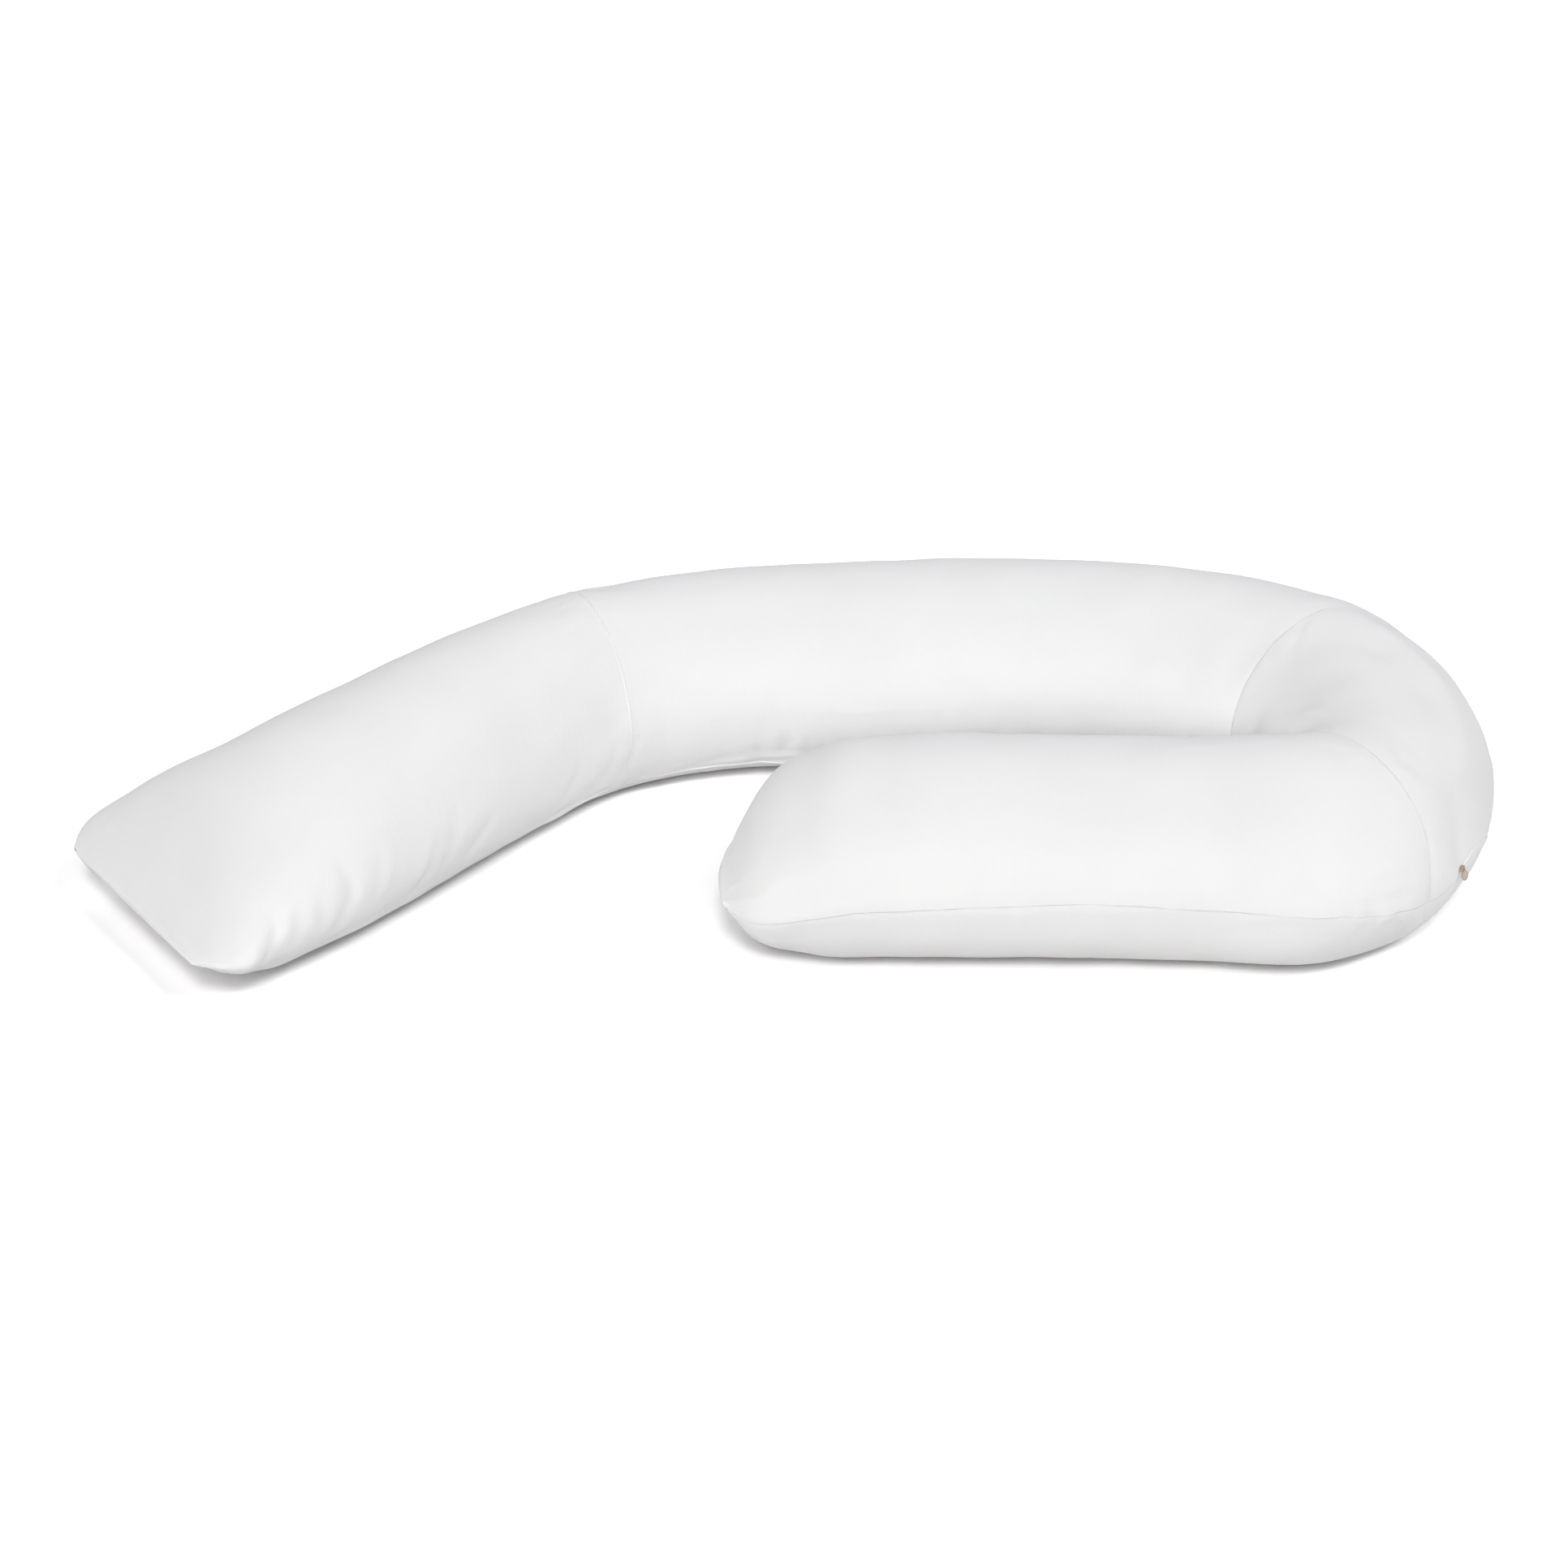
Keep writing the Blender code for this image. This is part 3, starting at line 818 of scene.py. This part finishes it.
class PILLOW_OT_seams(bpy.types.Operator):
    """Lay the lapped cross seams, the long seams and all their stitches on the cover"""
    bl_idname = "pillow.seams"
    bl_label = "Sew the Seams"

    def execute(self, context):
        sizes = context.scene.pillow_seams
        cover = read_cover()
        cotton = bpy.data.materials["bleached_cotton_percale"]
        thread = polyester_thread("bleached_polyester_thread", sizes.thread)
        round_it = np.linspace(-90, 270, 421)[:-1]
        lengthways = np.linspace(0.0, ALONG[-1], 1201)
        crosswise = np.linspace(8, 172, 161)
        crossing, running, shaded_gap_strips, rows = [], [], [], []
        for seam in SEAM_ALONG:
            line = on_cover(cover, seam, round_it)
            leg_seam = seam == SEAM_ALONG[0]
            crossing.append(swept(*line, PROUD if leg_seam else LAPPED, closed=True))
            if not leg_seam:
                shaded_gap_strips.append(swept(*line, SHADED_UNDER_EDGE, closed=True))
            for offset in CROSS_ROWS:
                rows.append(stitched(*line, offset * MM, sizes, closed=True))
        for turn_at in (side_turn, inner_seam_turn):
            line = on_cover(cover, lengthways, turn_at(lengthways))
            running.append(swept(*line, BUTTED))
            shaded_gap_strips.append(swept(*line, SHADED_UNDER_EDGE))
            rows.append(stitched(*line, LONG_ROW * MM, sizes))
        for along in (END_ROW, ALONG[-1] - END_ROW):
            rows.append(stitched(*on_cover(cover, along, crosswise), 0.0, sizes))
        # The strips in the seams' gaps get painted shade: a darker colour broken by lighter
        # patches.
        folded = gap_shade_cotton("painted_seam_gap_shade", sizes.under, linear("EDEDEE"))
        for name, parts, material in (("cross_seams", crossing, cotton),
                                      ("long_seams", running, cotton),
                                      ("seam_gap_strips_painted_shade", shaded_gap_strips, folded),
                                      ("stitches", rows, thread)):
            link_mesh(name, joined_mesh(name, parts), material)
        return {"FINISHED"}


def pick(piece, kind, wanted):
    """Selects the piece's corners or faces whose middle passes the test."""
    bpy.ops.mesh.select_mode(type=kind)
    bpy.ops.mesh.select_all(action="DESELECT")
    shape = bmesh.from_edit_mesh(piece.data)
    for part in shape.verts if kind == "VERT" else shape.faces:
        corners = [part] if kind == "VERT" else part.verts
        if wanted(sum((corner.co for corner in corners), Vector()) / len(corners)):
            part.select_set(True)
    shape.select_flush_mode()
    bmesh.update_edit_mesh(piece.data)


def resize(x, y, z):
    bpy.ops.transform.resize(value=(x, y, z), center_override=(0, 0, 0))


def extrude(out):
    bpy.ops.mesh.extrude_region_move(TRANSFORM_OT_translate={"value": (0, 0, out)})


def start_piece(name, add, **options):
    """A new primitive under that name, in edit mode."""
    deselect_all()
    add(location=(0, 0, 0), **options)
    piece = bpy.context.object
    piece.name = piece.data.name = name
    bpy.ops.object.mode_set(mode="EDIT")
    bpy.ops.mesh.select_all(action="SELECT")
    return piece


def end_piece(piece, place, material, replaced=()):
    """Leaves edit mode, puts the piece in its place and finishes it."""
    bpy.ops.mesh.select_all(action="SELECT")
    bpy.ops.mesh.normals_make_consistent(inside=False)
    bpy.ops.object.mode_set(mode="OBJECT")
    bpy.ops.object.shade_smooth_by_angle(angle=radians(35))
    piece.matrix_world = place
    bpy.ops.object.transform_apply(location=True, rotation=True, scale=True)
    piece.data.materials.append(material)
    finish_piece(piece, replaced)


# ---- zip

ZIP_STOP = 0.033  # the slider lies this far before the bend arm seam
FLY_SPAN = 0.044  # length of the cloth over the zip, on the middle line
FLY_END_WIDTH = 0.004
FLY_START_TURN = -3.4  # where the strip's upper edge starts round the bag
FLY_END_TURN = -0.6  # and where it ends, at the slider
FLY_ARCH = 5.2  # degrees it rises between them
# The strip's outline: part of its width below that edge, and millimetres out of the cover.
FLY_OUTLINE = ((0.02, -0.6), (-0.03, 0.3), (0.0, 0.9), (0.06, 1.2), (0.14, 1.0), (0.20, 0.75),
               (0.28, 1.0), (0.5, 0.95), (0.8, 0.65), (0.97, 0.25), (1.0, -0.6))
FLY_STITCH_ROW = 5  # the place in that outline that the stitches follow
BAG_RADIUS = 0.098  # of the bag where the strip lies

SLIDER_SIZE = (0.0062, 0.0046, 0.0028)
NOSE = (1, 0.62, 0.85)  # the slider's front end, as a part of the whole block
WAIST = (1, 0.9, 1)  # its sides behind the nose
BRIDGE_TOP = (1.5, 0.8, 1)  # the bridge's top, as a part of its foot
BRIDGE_INSET = 0.0003
SLIDER_BEVEL = 0.00028
SLIDER_RISE = 0.0050  # the slider's middle lies this far above the side seam
SLIDER_OUT = 0.0019  # and this far out of the cover
BRIDGE_RISE = 0.0016  # how far the bridge stands out of the slider
TAB_THICKNESS = 0.0009
TAB_INSET = 0.0005  # from one ring of the plate's domed face to the next
TAB_DOME = 0.0002  # how far that face rises
PLATE_SHARE = 0.88  # size of the plate as a part of the whole tab
RIM_LINE = 0.94  # and of its rim's middle line
TAB_OUT = 0.0034  # the tab hangs this far out of the cover
TAB_BELOW = 0.0002  # and this far below the slider's middle
TAB_TURN = 25  # degrees by which the tab has turned from the cover to the front
TAB_LEAN = 16  # and by which it leans from hanging straight
RIM_LIFT = 0.0005  # how far the rim's middle line lies over the plate's back
RIM_SHARE = 0.16  # of the tab's half width that the rim's own radius takes
RIM_SCALE = 0.0034  # makes the rim 1.1 mm thick
# Past each of these parts of its half length the tab grows narrower by that much.
LEAF_STEPS = ((0.0, 0.93), (0.3, 0.86), (0.6, 0.80), (0.8, 0.85))


def placed(middle, x, y, z):
    """The frame with its middle and its three axes there."""
    return Matrix.Translation(middle) @ Matrix((x, y, z)).transposed().to_4x4()


def zip_place(cover, along):
    """The slider's frame on the cover: x along the zip, y down the bag and z outwards."""
    ends = np.array([along, along + 0.002])
    points, normals = on_cover(cover, ends, side_turn(ends))
    normal = Vector(normals[0])
    lower = Vector(points[1] - points[0]).normalized().cross(normal)
    lower = (-lower if lower.z > 0 else lower).normalized()
    middle = Vector(points[0]) - lower * SLIDER_RISE + normal * SLIDER_OUT
    return placed(middle, lower.cross(normal).normalized(), lower, normal)


def hanging_place(slider):
    """The pull tab's frame: y hangs straight down but for its lean, z points outwards."""
    normal = slider.to_3x3() @ Vector((0, 0, 1))
    down = Vector((0, 0, -1))
    outwards = Matrix.Rotation(radians(-TAB_TURN), 3, "Z") @ Vector((normal.x, normal.y, 0))
    outwards.normalize()
    middle = slider.translation + normal * (TAB_OUT - SLIDER_OUT) + down * TAB_BELOW
    hanging = placed(middle, down.cross(outwards), down, outwards)
    return hanging @ Matrix.Rotation(radians(TAB_LEAN), 4, "Z")


def make_slider(place, material):
    """A wedge-shaped block with a waist, and the low bridge that holds the tab."""
    piece = start_piece("zip_slider_body", bpy.ops.mesh.primitive_cube_add, size=1)
    resize(*SLIDER_SIZE)
    bpy.ops.mesh.subdivide(number_cuts=2)
    pick(piece, "VERT", lambda middle: middle.x > 0.0026)
    resize(*NOSE)
    pick(piece, "VERT", lambda middle: -0.002 < middle.x < 0.0 and abs(middle.y) > 0.002)
    resize(*WAIST)
    pick(piece, "FACE", lambda middle: middle.z > 0.0013 and abs(middle.x) < 0.002
         and abs(middle.y) < 0.001)
    bpy.ops.mesh.inset(thickness=BRIDGE_INSET)
    extrude(BRIDGE_RISE)
    resize(*BRIDGE_TOP)
    bpy.ops.mesh.select_all(action="SELECT")
    bpy.ops.mesh.bevel(offset=SLIDER_BEVEL, segments=2, affect="EDGES")
    end_piece(piece, place, material, ("zip_slider",))


def make_tab(place, sizes, material):
    """A leaf-shaped plate, narrow where the slider holds it."""
    piece = start_piece("zip_tab_plate", bpy.ops.mesh.primitive_circle_add, vertices=28,
                        radius=1, fill_type="NGON")
    leaf(piece, sizes, PLATE_SHARE)
    extrude(TAB_THICKNESS)
    bpy.ops.mesh.inset(thickness=TAB_INSET)
    bpy.ops.mesh.inset(thickness=TAB_INSET)
    bpy.ops.transform.translate(value=(0, 0, TAB_DOME))
    end_piece(piece, place, material, ("zip_tab",))


def make_rim(place, sizes, material):
    """The tab's round rim."""
    piece = start_piece("zip_tab_rim", bpy.ops.mesh.primitive_torus_add, major_segments=40,
                        minor_segments=10, major_radius=1, minor_radius=RIM_SHARE)
    resize(1, 1, RIM_SCALE)
    leaf(piece, sizes, RIM_LINE)
    bpy.ops.transform.translate(value=(0, 0, RIM_LIFT))
    end_piece(piece, place, material)


def leaf(piece, sizes, share):
    """Turns a round outline into the tab's leaf, hung from its narrow end."""
    resize(sizes.tab_width / 2 * share, sizes.tab_length / 2 * share, 1)
    for reach, narrower in LEAF_STEPS:
        limit = -reach * sizes.tab_length / 2
        pick(piece, "VERT", lambda middle: middle.y < limit)
        resize(narrower, 1, 1)
    bpy.ops.mesh.select_all(action="SELECT")
    bpy.ops.transform.translate(value=(0, sizes.tab_length / 2, 0))


def make_fly(cover, slider_at, sizes):
    """The cloth that laps over the zip, with a folded and stitched upper edge."""
    share = np.linspace(0, 1, 61)
    along = slider_at - FLY_SPAN * (1 - share)
    edge_turn = (FLY_START_TURN + (FLY_END_TURN - FLY_START_TURN) * share
                 + FLY_ARCH * np.sin(pi * share))
    width = FLY_END_WIDTH + (sizes.fly_width - FLY_END_WIDTH) * np.sin(pi * share) ** 0.8
    rings = []
    for part, height in FLY_OUTLINE:
        turn = np.degrees(part * width / BAG_RADIUS)
        points, normals = on_cover(cover, along, edge_turn - turn)
        rings.append(points + normals * height * MM)
    grid = np.stack(rings, axis=1)
    fly = link_mesh("zip_cover_flap", joined_mesh("zip_cover_flap", [tube(grid)]),
                    bpy.data.materials["bleached_cotton_percale"], ("zip_fly",))
    _, normals = on_cover(cover, along, edge_turn)
    row = stitched(grid[3:-3, FLY_STITCH_ROW], normals[3:-3], 0.0,
                   bpy.context.scene.pillow_seams)
    link_mesh("zip_stitches", joined_mesh("zip_stitches", [row]),
              bpy.data.materials["bleached_polyester_thread"])


class PillowZipSettings(bpy.types.PropertyGroup):
    """Sizes and colours of the zip's end."""
    metal: colour("Metal", "Colour of the slider and of the tab's rim", "B09F8B")
    enamel: colour("Enamel", "Colour of the pull tab's face", "D1BFAB")
    tab_length: distance("Tab length", "Length of the pull tab", 0.0130, 0.005)
    tab_width: distance("Tab width", "Its widest part", 0.0072, 0.002)
    fly_width: distance("Fly width", "Widest part of the strip over the zip", 0.014, 0.004)


class PILLOW_OT_zip(bpy.types.Operator):
    """Make the fly, the slider and the pull tab at the end of the zip"""
    bl_idname = "pillow.zip"
    bl_label = "Fit the Zip"

    def execute(self, context):
        sizes = context.scene.pillow_zip
        cover = read_cover()
        metal = lacquered_metal("brown_lacquered_zinc", sizes.metal, 0.42, 0.1)
        enamel = lacquered_metal("beige_enamelled_zinc", sizes.enamel, 0.45, 0.0)
        slider_at = SEAM_ALONG[-1] - ZIP_STOP
        place = zip_place(cover, slider_at)
        make_slider(place, metal)
        make_tab(hanging_place(place), sizes, enamel)
        make_rim(hanging_place(place), sizes, metal)
        make_fly(cover, slider_at, sizes)
        return {"FINISHED"}


class PillowStageSettings(bpy.types.PropertyGroup):
    """The studio: floor, lamps and camera."""
    floor: colour("Floor", "Colour of the floor", "DCDBDB")
    elevation: bpy.props.FloatProperty(
        name="Camera elevation", description="Angle of the camera above the floor",
        subtype="ANGLE", unit="ROTATION", default=radians(30))
    distance: distance("Camera distance", "From the camera to the point it looks at", 3.68, 0.5)
    lens: bpy.props.FloatProperty(
        name="Lens", description="Focal length", subtype="DISTANCE_CAMERA", unit="CAMERA",
        default=80.0, min=10)


FLOOR_SIZE = 16
AIM = Vector((-0.005, 0.110, 0.0))  # the point that the camera looks at

WHITE = (1.0, 1.0, 1.0)
Lamp = namedtuple("Lamp", "name azimuth elevation power lights colour", defaults=(WHITE,))

# Softboxes round the bag: azimuth 0 is the camera's side, 90 the bend's. The others light
# the floor alone. The first of them also bounces up from it, the rest only whiten it.
LAMPS = [Lamp(*row) for row in (
    ("front_left_softbox", -45, 30, 2380, "all"),
    ("front_softbox", 0, 40, 4000, "all"),
    ("right_softbox", 90, 30, 2560, "all", (0.992, 0.993, 1.016)),
    ("back_softbox", 180, 40, 2700, "all", (0.986, 0.988, 1.026)),
    ("floor_bounce", 0, 48, 950, "floor"),
    ("floor_wash", 0, 49, 2700, "floor, unbounced"),
    ("left_floor_wash", -54, 50, 750, "floor, unbounced"),
    ("right_floor_wash", 48, 50, 3300, "floor, unbounced"),
)]
SOFTBOX = (27.0, 13.5)  # how far a softbox stands and how wide it is
FLOOR_LAMP = (24.0, 4.4)  # and a lamp of the floor


def look(thing, azimuth, elevation, reach, aim):
    """Puts a lamp or the camera this far from a point, looking at it."""
    bpy.context.scene.collection.objects.link(thing)
    way = Vector((sin(azimuth) * cos(elevation), -cos(azimuth) * cos(elevation), sin(elevation)))
    thing.location = aim + way * reach
    thing.rotation_euler = (-way).to_track_quat("-Z", "Y").to_euler()


def add_lamp(lamp, floor):
    """A soft square lamp that lights everything or the floor alone."""
    light = bpy.data.lights.new(lamp.name, "AREA")
    reach, light.size = SOFTBOX if lamp.lights == "all" else FLOOR_LAMP
    light.shape = "SQUARE"
    light.energy, light.color = lamp.power, lamp.colour
    if "unbounced" in lamp.lights:
        light.cycles.max_bounces = 0
    thing = bpy.data.objects.new(lamp.name, light)
    look(thing, radians(lamp.azimuth), radians(lamp.elevation), reach, Vector())
    thing.visible_camera = False
    if lamp.lights != "all":
        lit = bpy.data.collections.new(lamp.name + "_receivers")
        lit.objects.link(floor)
        thing.light_linking.receiver_collection = lit


class PILLOW_OT_stage(bpy.types.Operator):
    """Make the floor, the soft lamps, the world and the camera"""
    bl_idname = "pillow.stage"
    bl_label = "Set the Stage"

    def execute(self, context):
        sizes = context.scene.pillow_stage
        scene = context.scene
        deselect_all()
        bpy.ops.mesh.primitive_plane_add(size=FLOOR_SIZE, location=(0, 0, 0))
        floor = context.object
        floor.name = "floor"
        paper, _, _ = new_material("matt_white_paper", sizes.floor, 0.9, specular_ior_level=0.0)
        floor.data.materials.append(paper)
        world = bpy.data.worlds.new("soft_white")
        scene.world = world
        world.use_nodes = True
        tree = world.node_tree
        sky = tree.nodes["Background"]
        sky.inputs["Color"].default_value = (0.98, 0.99, 1.0, 1)
        sky.inputs["Strength"].default_value = 0.01
        seen = node(tree, "Background", {}, {"Color": (1, 1, 1, 1), "Strength": 1.0})
        path = node(tree, "LightPath")
        both = node(tree, "MixShader", {}, {}, {
            0: path.outputs["Is Camera Ray"], 1: sky.outputs[0], 2: seen.outputs[0]})
        tree.links.new(both.outputs[0], tree.nodes["World Output"].inputs["Surface"])
        for lamp in LAMPS:
            add_lamp(lamp, floor)
        camera = bpy.data.objects.new("camera", bpy.data.cameras.new("camera"))
        camera.data.lens = sizes.lens
        camera.data.sensor_width = 36
        camera.data.clip_end = 100
        look(camera, 0, sizes.elevation, sizes.distance, AIM)
        scene.camera = camera
        scene.view_settings.view_transform = "Standard"
        return {"FINISHED"}


class PILLOW_PT_panel(bpy.types.Panel):
    """Buttons and sizes of the body pillow"""
    bl_idname = "PILLOW_PT_panel"
    bl_label = "Body Pillow"
    bl_space_type = "VIEW_3D"
    bl_region_type = "UI"
    bl_category = "Pillow"

    def draw(self, context):
        for name, _, operator in PARTS:
            box = self.layout.box()
            box.operator(operator.bl_idname)
            group = getattr(context.scene, name)
            for title in group.bl_rna.properties.keys():
                if title not in ("rna_type", "name"):
                    box.prop(group, title)


PARTS = (
    ("pillow_cover", PillowCoverSettings, PILLOW_OT_cover),
    ("pillow_seams", PillowSeamSettings, PILLOW_OT_seams),
    ("pillow_zip", PillowZipSettings, PILLOW_OT_zip),
    ("pillow_stage", PillowStageSettings, PILLOW_OT_stage),
)
CLASSES = [each for part in PARTS for each in part[1:]] + [PILLOW_PT_panel]


def register():
    for each in CLASSES:
        bpy.utils.register_class(each)
    for name, group, _ in PARTS:
        setattr(bpy.types.Scene, name, bpy.props.PointerProperty(type=group))


def unregister():
    for name, _, _ in PARTS:
        delattr(bpy.types.Scene, name)
    for each in reversed(CLASSES):
        bpy.utils.unregister_class(each)


def main():
    register()
    bpy.ops.pillow.cover()
    bpy.ops.pillow.seams()
    bpy.ops.pillow.zip()
    bpy.ops.pillow.stage()


if __name__ == "__main__":
    main()
